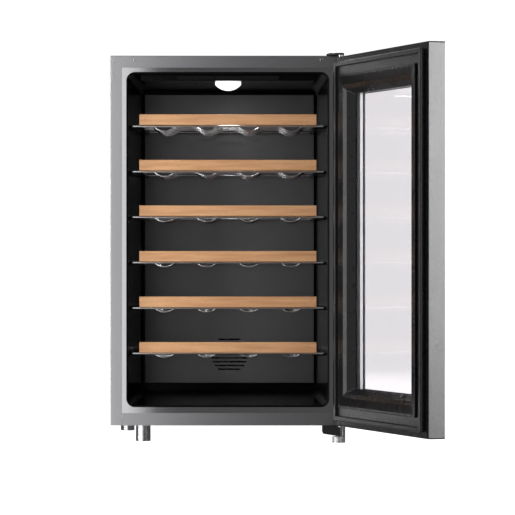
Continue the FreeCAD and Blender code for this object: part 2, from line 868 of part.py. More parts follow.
def front_right_foot():
    """Knurled foot that screws into the lower hinge's collar."""
    x = hinge_x - turn_foot_offset
    body = post(x, hinge_y, 0, turn_foot_height, turn_foot_radius)
    grooves = []
    for n in range(knurl_count):
        a = 2 * math.pi * n / knurl_count
        grooves.append(post(x + (turn_foot_radius + 0.3) * math.cos(a),
                            hinge_y + (turn_foot_radius + 0.3) * math.sin(a),
                            1.5, turn_foot_height + 1, 0.9))
    body = body.cut(Part.makeCompound(grooves))
    stud = post(x, hinge_y, turn_foot_height, collar_low + turn_stud_length, turn_stud_radius)
    return body.fuse(stud).removeSplitter()


# ---------------------------------------------------------------- hinges


collar_radius = 9.5
collar_low = turn_foot_height + seam
collar_high = z_bottom - 2.0
turn_stud_length = 10.0
bracket_left = 36.0       # bracket's left end from the hinge axis
bracket_slope = 6.0
bracket_back = 70.0
shoulder_radius = 5.0


def lower_hinge_collar():
    """Chromed collar that carries the hinge pin above and the turning foot below."""
    collar = post(hinge_x, hinge_y, collar_low, collar_high, collar_radius)
    collar = collar.makeFillet(0.8, edges_near(collar, lambda b: b.ZMax < collar_low + 0.01))
    shoulder = post(hinge_x, hinge_y, collar_high, door_low - seam, shoulder_radius)
    pin = post(hinge_x, hinge_y, collar_high, door_low + pin_length, pin_radius)
    bore = post(hinge_x - turn_foot_offset, hinge_y, collar_low - 1,
                collar_low + turn_stud_length + 1, turn_stud_radius + pin_play)
    return fuse([collar, shoulder, pin]).cut(bore)


def lower_hinge_bracket():
    """Black bracket under the cabinet's corner; its underside slopes towards the collar."""
    x0 = hinge_x - bracket_left
    x1 = hinge_x
    y0 = hinge_y - collar_radius
    section = [Vector(x0, y0, collar_low + bracket_slope), Vector(x1, y0, collar_low),
               Vector(x1, y0, collar_high), Vector(x0, y0, collar_high)]
    face = Part.Face(Part.makePolygon(section + section[:1]))
    arm = face.extrude(Vector(0, bracket_back - y0, 0))
    pad = block(x0, x1, seam, bracket_back, collar_high, z_bottom)
    seat = post(hinge_x, hinge_y, 0, z_bottom, collar_radius + 0.05)
    return fuse([arm, pad]).cut(seat)


upper_plate = 4.0


def upper_hinge_plate():
    x0 = hinge_x - 28.0
    x1 = half - 4.0
    y0 = hinge_y - 9.0
    outline = ((x0, 3.0), (hinge_x - 9, y0), (x1 - 4, y0), (x1, y0 + 4), (x1, 62), (x0, 62))
    plate = xy_prism(outline, z_top, z_top + upper_plate)
    return plate.makeFillet(1.0, edges_near(plate, lambda b: b.ZMin > z_top + upper_plate - 0.01))


def upper_hinge_pin():
    pin = post(hinge_x, hinge_y, door_high - pin_length, z_top, pin_radius)
    washer = post(hinge_x, hinge_y, door_high + seam, z_top, shoulder_radius)
    return fuse([pin, washer])


def upper_screw_places():
    return ((hinge_x - 20, 14.0), (hinge_x, 14.0), (hinge_x - 10, 48.0))


def hinge_screws():
    screws = []
    for x, y in upper_screw_places():
        head = post(x, y, z_top + upper_plate, z_top + upper_plate + 2.2, 4.2)
        screws.append(head.makeFillet(1.2, edges_near(head, lambda b: b.ZMin > z_top + upper_plate + 2.1)))
    return Part.makeCompound(screws)


# ---------------------------------------------------------------- door, built shut


def door_outline(side, end, y, radius=0.5):
    return rounded_rect(half - side, door_low + end, door_high - end, y, radius)


def door_slab(side, end, y0, y1, radius=0.5):
    return slab(door_outline(side, end, y0, radius), y1 - y0)


def pin_bore(z0, z1, radius):
    return post(hinge_x, hinge_y, z0, z1, radius)


def door_frame():
    """Steel skin: face and both long edges; the ends are closed by the caps."""
    body = door_slab(0, cap_sheet, door_front, door_back, 0.5)
    face_edges = edges_near(body, lambda b: b.YMax < door_front + 0.01 and b.ZLength > 300)
    body = body.makeFillet(1.2, face_edges)
    hollow = block(-half + door_skin, half - door_skin, door_front + door_skin, door_back + 1,
                   door_low, door_high)
    window = door_slab(window_edge, window_edge, door_front - 1, door_front + 5, 2.0)
    return body.cut(hollow).cut(window)


def socket_block(z0, z1, grow):
    """Room for the pin socket in one end of the door."""
    reach = pin_radius + socket_wall
    return block(hinge_x - reach - grow, half - door_skin - fit_gap, hinge_y - reach - grow,
                 door_back + cover_sheet, z0 - grow, z1 + grow)


def bottom_socket(grow=0):
    return socket_block(door_low, door_low + socket_depth, grow)


def top_socket(grow=0):
    return socket_block(door_high - socket_depth, door_high, grow)


cover_sheet = 1.5


def door_core():
    """Moulded filling of the frame, which holds the panes."""
    y0 = door_front + door_skin
    inset = door_skin + fit_gap
    end = cap_sheet + fit_gap
    body = door_slab(inset, end, y0, door_back, 0.5)
    edge = pane_edge - seam
    body = body.cut(door_slab(edge, edge, y0 - 1, door_back + 1, 2.0))
    return body.cut(bottom_socket(fit_gap)).cut(top_socket(fit_gap))


def door_surround():
    """Black inner moulding: a flat back cover and the raised reveal round the glass."""
    end = cap_sheet + fit_gap
    cover = door_slab(3.0, end, door_back, door_back + cover_sheet, 2.0)
    crown = door_back + crown_height
    rise = door_slab(surround_outer, surround_outer, door_back, crown, 3.0)
    sleeve = door_slab(pane_edge, pane_edge, door_back - pane_back + fit_gap, door_back, 2.0)
    body = fuse([cover, rise, sleeve])
    profile = ((window_edge, door_back - pane_back, 4.0), (knee_inner, door_back + knee_height, 5.0),
               (slope_inner, door_back + slope_height, 6.0), (rim_inner, crown, 8.0))
    for (edge0, y0, round0), (edge1, y1, round1) in zip(profile, profile[1:]):
        body = body.cut(funnel(door_outline(edge0, edge0, y0, round0),
                               door_outline(edge1, edge1, y1, round1)))
    body = body.cut(bottom_socket(fit_gap)).cut(top_socket(fit_gap))
    outer_rim = edges_near(body, lambda b: b.YMin > crown - 0.01 and rim_edge(b))
    return body.makeFillet(crown_round, outer_rim)


def rim_edge(box):
    """True for the edges of the surround's rim that face the gasket."""
    middle = (door_low + door_high) / 2
    side = max(abs(box.XMin), abs(box.XMax)) > half - surround_outer - 3.1
    end = max(abs(box.ZMin - middle), abs(box.ZMax - middle)) > middle - door_low - surround_outer - 3.1
    return side or end


def door_gasket():
    """Magnetic gasket: flat sealing face on a bellows, with an inner flap."""
    base = door_back + cover_sheet
    face = -seal_gap
    depth = face - base
    layers = ((0.0, 0.22, 2.0), (0.22, 0.34, 4.0), (0.34, 0.52, 1.0), (0.52, 0.64, 4.0),
              (0.64, 1.0, 0.0))
    rings = []
    for low, high, inset in layers:
        outer = gasket_outer + inset
        rings.append(door_slab(outer, outer, base + depth * low, base + depth * high, 3.0))
    body = fuse(rings)
    hole = door_slab(gasket_inner, gasket_inner, base - 1, face + 1, 2.0)
    body = body.cut(hole)
    flap = door_slab(gasket_inner - 1, gasket_inner - 1, base, base + depth * 0.45, 2.0)
    flap_end = surround_outer - seam
    flap = flap.cut(door_slab(flap_end, flap_end, base - 1, face, 2.0))
    seal = fuse([body, flap])
    return seal.makeFillet(gasket_round, edges_near(seal, lambda b: b.YMin > face - 0.01))


def door_end_cap(z0, socket, bore_low, bore_high):
    """Black cap over one end of the door, with the socket for the hinge pin."""
    cap = block(-half, half, door_front, door_back, z0, z0 + cap_sheet)
    bore = post(hinge_x, hinge_y, bore_low, bore_high, pin_radius + pin_play)
    return fuse([cap, socket]).cut(bore)


def door_bottom_cap():
    return door_end_cap(door_low, bottom_socket(), door_low - 1, door_low + pin_length + 1)


def door_top_cap():
    return door_end_cap(door_high - cap_sheet, top_socket(), door_high - pin_length - 1,
                        door_high + 1)


def glass_pane(y0):
    return door_slab(pane_edge, pane_edge, y0, y0 + pane, 2.0)


outer_pane_low = door_front + door_skin + fit_gap
inner_pane_low = door_back - pane_back - pane


def outer_glass():
    return glass_pane(outer_pane_low)


def inner_glass():
    return glass_pane(inner_pane_low)


strip_start = outer_pane_low + pane
strip_end = strip_start + spacer_strip_depth


def spacer_ring(y0, y1):
    edge = window_edge - 2.0
    ring = door_slab(pane_edge, pane_edge, y0, y1, 2.0)
    return ring.cut(door_slab(edge, edge, y0 - 1, y1 + 1, 3.0))


def spacer_strip():
    """Bright metal bar of the spacer, against the outer pane."""
    return spacer_ring(strip_start, strip_end)


def glass_spacer():
    """Black sealant ring that fills the spacer up to the inner pane."""
    return spacer_ring(strip_end, inner_pane_low)


# ---------------------------------------------------------------- assembly


def opened(shape):
    shape = shape.copy()
    shape.rotate(Vector(hinge_x, hinge_y, 0), Vector(0, 0, 1), door_open_angle)
    return shape


def build():
    nodes = {}
    for make in (cabinet_wrap, hinge_hole_plugs, bottom_rail, front_trim, liner, insulation,
                 base_plate, back_sheet, back_panel, evaporator, fan_housing, fan_rotor,
                 control_housing, display_window, lamp_lens, lamp_board, control_board,
                 left_runners, right_runners, compressor_plate, compressor_grommets, compressor,
                 terminal_cover, condenser, filter_drier, refrigerant_tubes, drip_tray,
                 machine_grille, power_inlet,
                 front_left_leg, front_right_foot, rear_left_foot, rear_right_foot,
                 lower_hinge_collar, lower_hinge_bracket, upper_hinge_plate, upper_hinge_pin,
                 hinge_screws):
        nodes[make.__name__] = make()
    for make in (door_frame, door_core, door_surround, door_gasket, outer_glass, inner_glass,
                 glass_spacer, spacer_strip, door_bottom_cap, door_top_cap):
        nodes[make.__name__] = opened(make())
    top_level = shelf_levels()[0]
    top_rack = rack(top_level)
    top_board = board(top_level)
    for n, level in enumerate(shelf_levels(), 1):
        drop = Vector(0, 0, level - top_level)
        nodes[f"shelf_{n}_rack"] = top_rack.translated(drop)
        nodes[f"shelf_{n}_board"] = top_board.translated(drop)
    return nodes


def main():
    os.makedirs("parts", exist_ok=True)
    nodes = build()
    shift = Vector(0, -cab_depth / 2, -z_bottom)
    for name, shape in nodes.items():
        moved = shape.translated(shift)
        moved.exportStep(f"parts/{name}.step")


main()
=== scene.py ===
import bpy
import math
from mathutils import Matrix, Vector


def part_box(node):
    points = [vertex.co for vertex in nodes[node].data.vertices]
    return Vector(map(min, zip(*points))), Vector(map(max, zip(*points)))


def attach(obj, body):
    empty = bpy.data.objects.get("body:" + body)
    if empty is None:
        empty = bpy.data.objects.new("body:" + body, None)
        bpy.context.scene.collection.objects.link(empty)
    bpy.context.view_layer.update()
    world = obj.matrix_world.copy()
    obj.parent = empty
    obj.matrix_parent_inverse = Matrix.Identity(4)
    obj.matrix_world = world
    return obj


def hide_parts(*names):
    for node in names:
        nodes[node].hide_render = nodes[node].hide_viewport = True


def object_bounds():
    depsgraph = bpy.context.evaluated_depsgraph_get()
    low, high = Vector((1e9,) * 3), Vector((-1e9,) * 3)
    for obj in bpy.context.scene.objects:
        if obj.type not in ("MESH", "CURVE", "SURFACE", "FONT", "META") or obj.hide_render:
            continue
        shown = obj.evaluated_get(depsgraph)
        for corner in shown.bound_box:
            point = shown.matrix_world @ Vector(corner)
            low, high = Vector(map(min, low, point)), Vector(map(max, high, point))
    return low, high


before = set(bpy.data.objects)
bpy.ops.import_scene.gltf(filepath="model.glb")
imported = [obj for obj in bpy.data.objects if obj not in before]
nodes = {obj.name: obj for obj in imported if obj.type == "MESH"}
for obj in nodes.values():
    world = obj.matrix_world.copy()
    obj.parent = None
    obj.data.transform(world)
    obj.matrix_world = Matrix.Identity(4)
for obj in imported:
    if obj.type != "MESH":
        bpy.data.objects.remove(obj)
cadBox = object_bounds()
scene = bpy.context.scene
print("frame loaded with", len(nodes), "nodes")


# camera

cameraPlace = {"x": 0.06035, "y": -6.285, "z": 0.34205, "lens": 207.3, "sensor": 36.0,
               "clipEnd": 60}


def addCamera():
    data = bpy.data.cameras.new("mainCamera")
    data.lens = cameraPlace["lens"]
    data.sensor_width = cameraPlace["sensor"]
    data.clip_end = cameraPlace["clipEnd"]
    camera = bpy.data.objects.new("mainCamera", data)
    camera.location = (cameraPlace["x"], cameraPlace["y"], cameraPlace["z"])
    camera.rotation_euler = (math.radians(90), 0, 0)  # level, looking towards the back
    scene.collection.objects.link(camera)
    scene.camera = camera


addCamera()
print("camera set")


# small helpers for modelling

facingUp = 0.9  # a face whose normal rises more than this counts as a top face


def deselectAll():
    if bpy.context.mode != "OBJECT":
        bpy.ops.object.mode_set(mode="OBJECT")
    bpy.ops.object.select_all(action="DESELECT")


def nameNew(name):
    piece = bpy.context.object
    piece.name = name
    piece.data.name = name
    return piece


def settle(piece):
    deselectAll()
    piece.select_set(True)
    bpy.context.view_layer.objects.active = piece
    bpy.ops.object.transform_apply(location=True, rotation=True, scale=True)


def applyModifiers(piece):
    bpy.context.view_layer.objects.active = piece
    for modifier in list(piece.modifiers):
        bpy.ops.object.modifier_apply(modifier=modifier.name)


def addBevel(piece, width, segments=3):
    bevel = piece.modifiers.new("edgeBevel", "BEVEL")
    bevel.width = width
    bevel.segments = segments
    bevel.limit_method = "ANGLE"
    applyModifiers(piece)


def selectFaces(piece, test):
    bpy.ops.object.mode_set(mode="EDIT")
    bpy.ops.mesh.select_mode(type="FACE")
    bpy.ops.mesh.select_all(action="DESELECT")
    bpy.ops.object.mode_set(mode="OBJECT")
    for face in piece.data.polygons:
        face.select = test(face)
    bpy.ops.object.mode_set(mode="EDIT")


# floor, backdrop and light

stageSize = {"radius": 16.0, "height": 9.0, "bend": 2.0, "bendSteps": 12, "sides": 96}
paperLook = {"color": (0.92, 0.92, 0.92, 1), "roughness": 0.9, "glow": 1.0}


def addStage():
    deselectAll()
    floorLevel = cadBox[0][2]
    height = stageSize["height"]
    bpy.ops.mesh.primitive_cylinder_add(vertices=stageSize["sides"], radius=stageSize["radius"],
                                        depth=height, location=(0, 0, floorLevel + height / 2))
    sweep = nameNew("studioSweep")
    settle(sweep)
    selectFaces(sweep, lambda face: face.normal.z > facingUp)
    bpy.ops.mesh.delete(type="FACE")
    bpy.ops.mesh.select_all(action="SELECT")
    bpy.ops.mesh.flip_normals()
    bpy.ops.object.mode_set(mode="OBJECT")
    addBevel(sweep, stageSize["bend"], stageSize["bendSteps"])
    bpy.ops.object.shade_smooth()
    material = bpy.data.materials.new("studioPaper")
    material.use_nodes = True
    shader = material.node_tree.nodes["Principled BSDF"]
    shader.inputs["Base Color"].default_value = paperLook["color"]
    shader.inputs["Roughness"].default_value = paperLook["roughness"]
    shader.inputs["Emission Color"].default_value = (1, 1, 1, 1)
    shader.inputs["Emission Strength"].default_value = paperLook["glow"]
    sweep.data.materials.append(material)
    sweep.visible_glossy = False  # the metal mirrors only the lights, as in a dark studio
    sweep.visible_diffuse = False
    sweep.visible_shadow = False


lightSet = {
    "keyLeft": {"place": (-0.52, -0.75, 0.35), "aim": (0.0, -0.25, 0.35), "size": (0.1, 3.2), "power": 10.5},
    "panelLeft": {"place": (-0.726, -1.5, 0.35), "aim": (-0.726, 0.0, 0.35), "size": (1.0, 2.6), "power": 9},
    "sideLeft": {"place": (-1.0, -0.6, 0.36), "aim": (0.235, -0.31, 0.36), "size": (0.16, 1.1), "power": 6},
    "edgeRight": {"place": (2.5, -2.4, 1.12), "aim": (0.4, -0.7, 0.4), "size": (0.5, 2.5), "power": 18},
    "topFront": {"place": (-0.3, -2.6, 2.6), "aim": (0.0, -0.2, 0.4), "size": (1.4, 0.8), "power": 3},
    "backRight": {"place": (2.4, 1.8, 1.6), "aim": (0.0, 0.0, 0.4), "size": (1.2, 1.6), "power": 20},
    "backLeft": {"place": (-0.6, 2.9, 1.3), "aim": (0.0, 0.2, 0.4), "size": (1.2, 1.6), "power": 20},
}


def addLight(name, values):
    data = bpy.data.lights.new(name, "AREA")
    data.shape = "RECTANGLE"
    data.size = values["size"][0]
    data.size_y = values["size"][1]
    data.energy = values["power"]
    light = bpy.data.objects.new(name, data)
    light.location = values["place"]
    direction = Vector(values["aim"]) - Vector(values["place"])
    light.rotation_euler = direction.to_track_quat("-Z", "Y").to_euler()
    light.visible_camera = False
    scene.collection.objects.link(light)


worldLook = {"color": (1, 1, 1, 1), "strength": 0.11}


def addWorld():
    world = bpy.data.worlds.new("studioWorld")
    world.use_nodes = True
    background = world.node_tree.nodes["Background"]
    background.inputs["Color"].default_value = worldLook["color"]
    background.inputs["Strength"].default_value = worldLook["strength"]
    scene.world = world
    scene.view_settings.view_transform = "Standard"


addStage()
addWorld()
for lightName, lightValues in lightSet.items():
    addLight(lightName, lightValues)
print("stage and lights set")


# shader node groups

noiseSpan = (0.3, 0.7)  # the part of the noise that is spread over a whole range

def newGroup(name, inputs, outputs):
    group = bpy.data.node_groups.new(name, "ShaderNodeTree")
    for label, kind, value in inputs:
        socket = group.interface.new_socket(name=label, in_out="INPUT", socket_type=kind)
        socket.default_value = value
    for label, kind in outputs:
        group.interface.new_socket(name=label, in_out="OUTPUT", socket_type=kind)
    start = group.nodes.new("NodeGroupInput")
    end = group.nodes.new("NodeGroupOutput")
    return group, start, end


def buildStretchedGrain():
    group, start, end = newGroup(
        "stretchedGrain",
        [("Stretch", "NodeSocketVector", (1, 1, 1)), ("Scale", "NodeSocketFloat", 60.0),
         ("Detail", "NodeSocketFloat", 4.0), ("Low", "NodeSocketFloat", 0.3),
         ("High", "NodeSocketFloat", 0.4)],
        [("Lines", "NodeSocketFloat"), ("Value", "NodeSocketFloat")])
    coords = group.nodes.new("ShaderNodeTexCoord")
    stretch = group.nodes.new("ShaderNodeVectorMath")
    stretch.operation = "MULTIPLY"
    noise = group.nodes.new("ShaderNodeTexNoise")
    spread = group.nodes.new("ShaderNodeMapRange")
    spread.inputs["From Min"].default_value = noiseSpan[0]
    spread.inputs["From Max"].default_value = noiseSpan[1]
    link = group.links.new
    link(coords.outputs["Object"], stretch.inputs[0])
    link(start.outputs["Stretch"], stretch.inputs[1])
    link(stretch.outputs[0], noise.inputs["Vector"])
    link(start.outputs["Scale"], noise.inputs["Scale"])
    link(start.outputs["Detail"], noise.inputs["Detail"])
    link(noise.outputs["Fac"], spread.inputs["Value"])
    link(start.outputs["Low"], spread.inputs["To Min"])
    link(start.outputs["High"], spread.inputs["To Max"])
    link(noise.outputs["Fac"], end.inputs["Lines"])
    link(spread.outputs["Result"], end.inputs["Value"])
    return group


def buildTwoTone():
    group, start, end = newGroup(
        "twoTone",
        [("Light", "NodeSocketColor", (0.5, 0.5, 0.5, 1)),
         ("Dark", "NodeSocketColor", (0.4, 0.4, 0.4, 1)),
         ("Scale", "NodeSocketFloat", 6.0), ("Contrast", "NodeSocketFloat", 1.0)],
        [("Color", "NodeSocketColor")])
    coords = group.nodes.new("ShaderNodeTexCoord")
    noise = group.nodes.new("ShaderNodeTexNoise")
    noise.inputs["Detail"].default_value = 5.0
    power = group.nodes.new("ShaderNodeMath")
    power.operation = "POWER"
    mix = group.nodes.new("ShaderNodeMix")
    mix.data_type = "RGBA"
    link = group.links.new
    link(coords.outputs["Object"], noise.inputs["Vector"])
    link(start.outputs["Scale"], noise.inputs["Scale"])
    link(noise.outputs["Fac"], power.inputs[0])
    link(start.outputs["Contrast"], power.inputs[1])
    link(power.outputs[0], mix.inputs["Factor"])
    link(start.outputs["Dark"], mix.inputs["A"])
    link(start.outputs["Light"], mix.inputs["B"])
    link(mix.outputs["Result"], end.inputs["Color"])
    return group


stretchedGrain = buildStretchedGrain()
twoTone = buildTwoTone()
print("node groups built")


# materials

def startMaterial(name):
    material = bpy.data.materials.new(name)
    material.use_nodes = True
    tree = material.node_tree
    return material, tree, tree.nodes["Principled BSDF"]


def placeGroup(tree, group, values):
    node = tree.nodes.new("ShaderNodeGroup")
    node.node_tree = group
    for label, value in values.items():
        node.inputs[label].default_value = value
    return node


def addBump(tree, shader, height, strength, distance):
    bump = tree.nodes.new("ShaderNodeBump")
    bump.inputs["Strength"].default_value = strength
    bump.inputs["Distance"].default_value = distance
    tree.links.new(height, bump.inputs["Height"])
    tree.links.new(bump.outputs["Normal"], shader.inputs["Normal"])


def rgb(red, green, blue):
    def linear(value):
        value = value / 255
        return value / 12.92 if value <= 0.04045 else ((value + 0.055) / 1.055) ** 2.4
    return (linear(red), linear(green), linear(blue), 1)


def metalFinish(name, light, dark, stretch, scale, rough, bump=0.08, metallic=1.0, coat=0.0):
    material, tree, shader = startMaterial(name)
    tone = placeGroup(tree, twoTone, {"Light": light, "Dark": dark, "Scale": 3.0})
    grain = placeGroup(tree, stretchedGrain, {"Stretch": stretch, "Scale": scale, "Detail": 3.0,
                                              "Low": rough[0], "High": rough[1]})
    tree.links.new(tone.outputs["Color"], shader.inputs["Base Color"])
    tree.links.new(grain.outputs["Value"], shader.inputs["Roughness"])
    shader.inputs["Metallic"].default_value = metallic
    shader.inputs["Coat Weight"].default_value = coat
    addBump(tree, shader, grain.outputs["Lines"], bump, 0.0004)
    return material


def plasticFinish(name, light, dark, scale, rough, bump=0.1, coat=0.0, level=0.5):
    material, tree, shader = startMaterial(name)
    tone = placeGroup(tree, twoTone, {"Light": light, "Dark": dark, "Scale": 8.0})
    grain = placeGroup(tree, stretchedGrain, {"Stretch": (1, 1, 1), "Scale": scale, "Detail": 2.0,
                                              "Low": rough[0], "High": rough[1]})
    tree.links.new(tone.outputs["Color"], shader.inputs["Base Color"])
    tree.links.new(grain.outputs["Value"], shader.inputs["Roughness"])
    shader.inputs["Coat Weight"].default_value = coat
    shader.inputs["Specular IOR Level"].default_value = level
    addBump(tree, shader, grain.outputs["Lines"], bump, 0.0003)
    return material


beechLook = {"light": rgb(197, 150, 107), "dark": rgb(178, 128, 87), "fleck": rgb(138, 93, 57)}


def beechFinish():
    material, tree, shader = startMaterial("beechWood")
    link = tree.links.new
    bands = placeGroup(tree, stretchedGrain, {"Stretch": (1.2, 14, 14), "Scale": 9.0, "Detail": 5.0})
    pores = placeGroup(tree, stretchedGrain, {"Stretch": (9, 60, 60), "Scale": 16.0, "Detail": 2.0,
                                              "Low": 0.0, "High": 1.0})
    ramp = tree.nodes.new("ShaderNodeValToRGB")
    ramp.color_ramp.elements[0].position = 0.3
    ramp.color_ramp.elements[0].color = beechLook["dark"]
    ramp.color_ramp.elements[1].position = 0.62
    ramp.color_ramp.elements[1].color = beechLook["light"]
    sharp = tree.nodes.new("ShaderNodeMapRange")
    sharp.inputs["From Min"].default_value = 0.62
    sharp.inputs["From Max"].default_value = 0.7
    sharp.inputs["To Max"].default_value = 0.55
    mix = tree.nodes.new("ShaderNodeMix")
    mix.data_type = "RGBA"
    mix.inputs["B"].default_value = beechLook["fleck"]
    link(bands.outputs["Lines"], ramp.inputs["Fac"])
    link(pores.outputs["Lines"], sharp.inputs["Value"])
    link(sharp.outputs["Result"], mix.inputs["Factor"])
    link(ramp.outputs["Color"], mix.inputs["A"])
    link(mix.outputs["Result"], shader.inputs["Base Color"])
    rough = placeGroup(tree, stretchedGrain, {"Stretch": (3, 30, 30), "Scale": 20.0, "Detail": 2.0,
                                              "Low": 0.42, "High": 0.58})
    link(rough.outputs["Value"], shader.inputs["Roughness"])
    addBump(tree, shader, pores.outputs["Lines"], 0.12, 0.0003)
    return material


glassLook = {"light": (0.866, 0.852, 0.866, 1), "dark": (0.852, 0.838, 0.852, 1), "ior": 1.07,
             "smear": 0.012}


def glassFinish():
    material, tree, shader = startMaterial("clearGlass")
    tone = placeGroup(tree, twoTone, {"Light": glassLook["light"], "Dark": glassLook["dark"],
                                      "Scale": 2.0})
    tree.links.new(tone.outputs["Color"], shader.inputs["Base Color"])
    smear = placeGroup(tree, stretchedGrain, {"Stretch": (1, 1, 1), "Scale": 7.0, "Detail": 3.0,
                                              "Low": 0.0, "High": glassLook["smear"]})
    tree.links.new(smear.outputs["Value"], shader.inputs["Roughness"])
    shader.inputs["Transmission Weight"].default_value = 1.0
    shader.inputs["IOR"].default_value = glassLook["ior"]  # coated panes, which mirror little
    return material


lampLook = {"glow": 1.2, "roughness": 0.35, "power": 0.1, "size": 0.045, "drop": 0.004}


def lampFinish():
    material, tree, shader = startMaterial("lampDome")
    tone = placeGroup(tree, twoTone, {"Light": (1.0, 1.0, 1.0, 1), "Dark": (0.86, 0.9, 1.0, 1),
                                      "Scale": 30.0})
    tree.links.new(tone.outputs["Color"], shader.inputs["Emission Color"])
    shader.inputs["Base Color"].default_value = (0.9, 0.92, 0.95, 1)
    shader.inputs["Emission Strength"].default_value = lampLook["glow"]
    shader.inputs["Roughness"].default_value = lampLook["roughness"]
    return material


finishes = {
    "bodySheet": metalFinish("bodySheet", rgb(164, 163, 166), rgb(157, 156, 159), (1, 1, 26), 60,
                             (0.29, 0.35), 0.05, 1.0),
    "steelTrim": metalFinish("steelTrim", rgb(198, 197, 199), rgb(190, 189, 191), (2, 2, 60), 70,
                             (0.08, 0.13), 0.03),
    "doorSteel": metalFinish("doorSteel", rgb(184, 183, 184), rgb(170, 169, 170), (40, 40, 1.5), 80,
                             (0.26, 0.36), 0.1, 0.9),
    "zincSheet": metalFinish("zincSheet", rgb(172, 174, 176), rgb(132, 135, 138), (1, 1, 1), 30,
                             (0.35, 0.55), 0.15),
    "backSteel": metalFinish("backSteel", rgb(118, 118, 119), rgb(105, 105, 106), (60, 1, 2), 60,
                             (0.36, 0.46), 0.12),
    "plainAluminium": metalFinish("plainAluminium", rgb(205, 206, 208), rgb(186, 188, 190), (2, 2, 30), 40,
                                  (0.3, 0.42), 0.06),
    "chromeWire": metalFinish("chromeWire", rgb(232, 232, 234), rgb(214, 214, 217), (1, 1, 1), 40,
                              (0.16, 0.24), 0.02),
    "screwZinc": metalFinish("screwZinc", rgb(178, 178, 182), rgb(150, 150, 154), (1, 1, 1), 90,
                             (0.22, 0.34), 0.06),
    "footChrome": metalFinish("footChrome", rgb(196, 195, 197), rgb(180, 180, 182), (1, 1, 1), 40,
                              (0.25, 0.33), 0.02),
    "blackSteel": metalFinish("blackSteel", rgb(34, 34, 35), rgb(24, 24, 25), (1, 1, 1), 220,
                              (0.4, 0.52), 0.14, 0.2, 0.1),
    "copperTube": metalFinish("copperTube", rgb(198, 124, 84), rgb(150, 86, 58), (1, 1, 1), 50,
                              (0.25, 0.42), 0.05),
    "glossLiner": plasticFinish("glossLiner", rgb(10, 10, 11), rgb(6, 6, 7), 40, (0.18, 0.26), 0.03,
                                0.0, 0.1),
    "blackMoulding": plasticFinish("blackMoulding", rgb(30, 30, 30), rgb(22, 22, 22), 500,
                                   (0.34, 0.44), 0.12),
    "glossSurround": plasticFinish("glossSurround", rgb(26, 25, 25), rgb(21, 20, 20), 60,
                                   (0.26, 0.32), 0.02, 0.0, 0.25),
    "sealRubber": plasticFinish("sealRubber", rgb(36, 35, 35), rgb(26, 25, 25), 260, (0.26, 0.36), 0.08),
    "footRubber": plasticFinish("footRubber", rgb(30, 30, 30), rgb(22, 22, 22), 300, (0.7, 0.85), 0.2),
    "displayGlass": plasticFinish("displayGlass", rgb(10, 10, 12), rgb(7, 7, 8), 20, (0.04, 0.08), 0.0, 0.5),
    "circuitBoard": plasticFinish("circuitBoard", rgb(30, 92, 52), rgb(18, 66, 38), 120, (0.35, 0.5), 0.1),
    "foamFill": plasticFinish("foamFill", rgb(226, 214, 170), rgb(205, 190, 140), 160, (0.85, 0.95), 0.4),
    "beechWood": beechFinish(),
    "clearGlass": glassFinish(),
    "lampDome": lampFinish(),
}

nodeFinish = {
    "cabinet_wrap": "bodySheet", "bottom_rail": "bodySheet", "front_trim": "steelTrim",
    "hinge_hole_plugs": "blackMoulding", "liner": "glossLiner", "insulation": "foamFill",
    "base_plate": "zincSheet", "back_sheet": "zincSheet", "back_panel": "backSteel",
    "evaporator": "plainAluminium", "fan_housing": "blackMoulding", "fan_rotor": "blackMoulding",
    "control_housing": "glossLiner", "display_window": "displayGlass", "lamp_lens": "lampDome",
    "lamp_board": "circuitBoard", "control_board": "circuitBoard", "left_runners": "glossLiner",
    "right_runners": "glossLiner", "compressor_plate": "zincSheet", "compressor_grommets": "footRubber",
    "compressor": "blackSteel", "terminal_cover": "blackMoulding", "condenser": "blackSteel",
    "filter_drier": "copperTube", "refrigerant_tubes": "copperTube", "drip_tray": "blackMoulding",
    "machine_grille": "blackSteel", "power_inlet": "blackMoulding", "front_left_leg": "footChrome",
    "front_right_foot": "footChrome", "rear_left_foot": "footChrome", "rear_right_foot": "footChrome",
    "lower_hinge_collar": "footChrome", "lower_hinge_bracket": "blackSteel",
    "upper_hinge_plate": "blackSteel", "upper_hinge_pin": "chromeWire", "hinge_screws": "chromeWire",
    "door_frame": "doorSteel", "door_core": "blackMoulding", "door_surround": "glossSurround",
    "door_gasket": "sealRubber", "outer_glass": "clearGlass", "inner_glass": "clearGlass",
    "glass_spacer": "blackMoulding", "spacer_strip": "plainAluminium",
    "door_bottom_cap": "blackMoulding", "door_top_cap": "blackMoulding",
}
shelfCount = sum(name.endswith("_board") and name.startswith("shelf_") for name in nodes)
for number in range(1, shelfCount + 1):
    nodeFinish[f"shelf_{number}_rack"] = "chromeWire"
    nodeFinish[f"shelf_{number}_board"] = "beechWood"

for nodeName, finishName in nodeFinish.items():
    mesh = nodes[nodeName].data
    mesh.materials.clear()
    mesh.materials.append(finishes[finishName])
print("finishes placed on", len(nodeFinish), "nodes")


# cross-head screws, modelled once and copied to each place

screwLook = {"headRadius": 0.0042, "headHeight": 0.00196, "crossLength": 0.0046, "crossWidth": 0.0011,
             "crossDepth": 0.0013, "crossRounding": 0.2, "edgeRounding": 0.0011, "edgeAngle": 50,
             "shoulder": 0.3, "crown": 0.12, "smoothAngle": 40, "groupReach": 0.009}


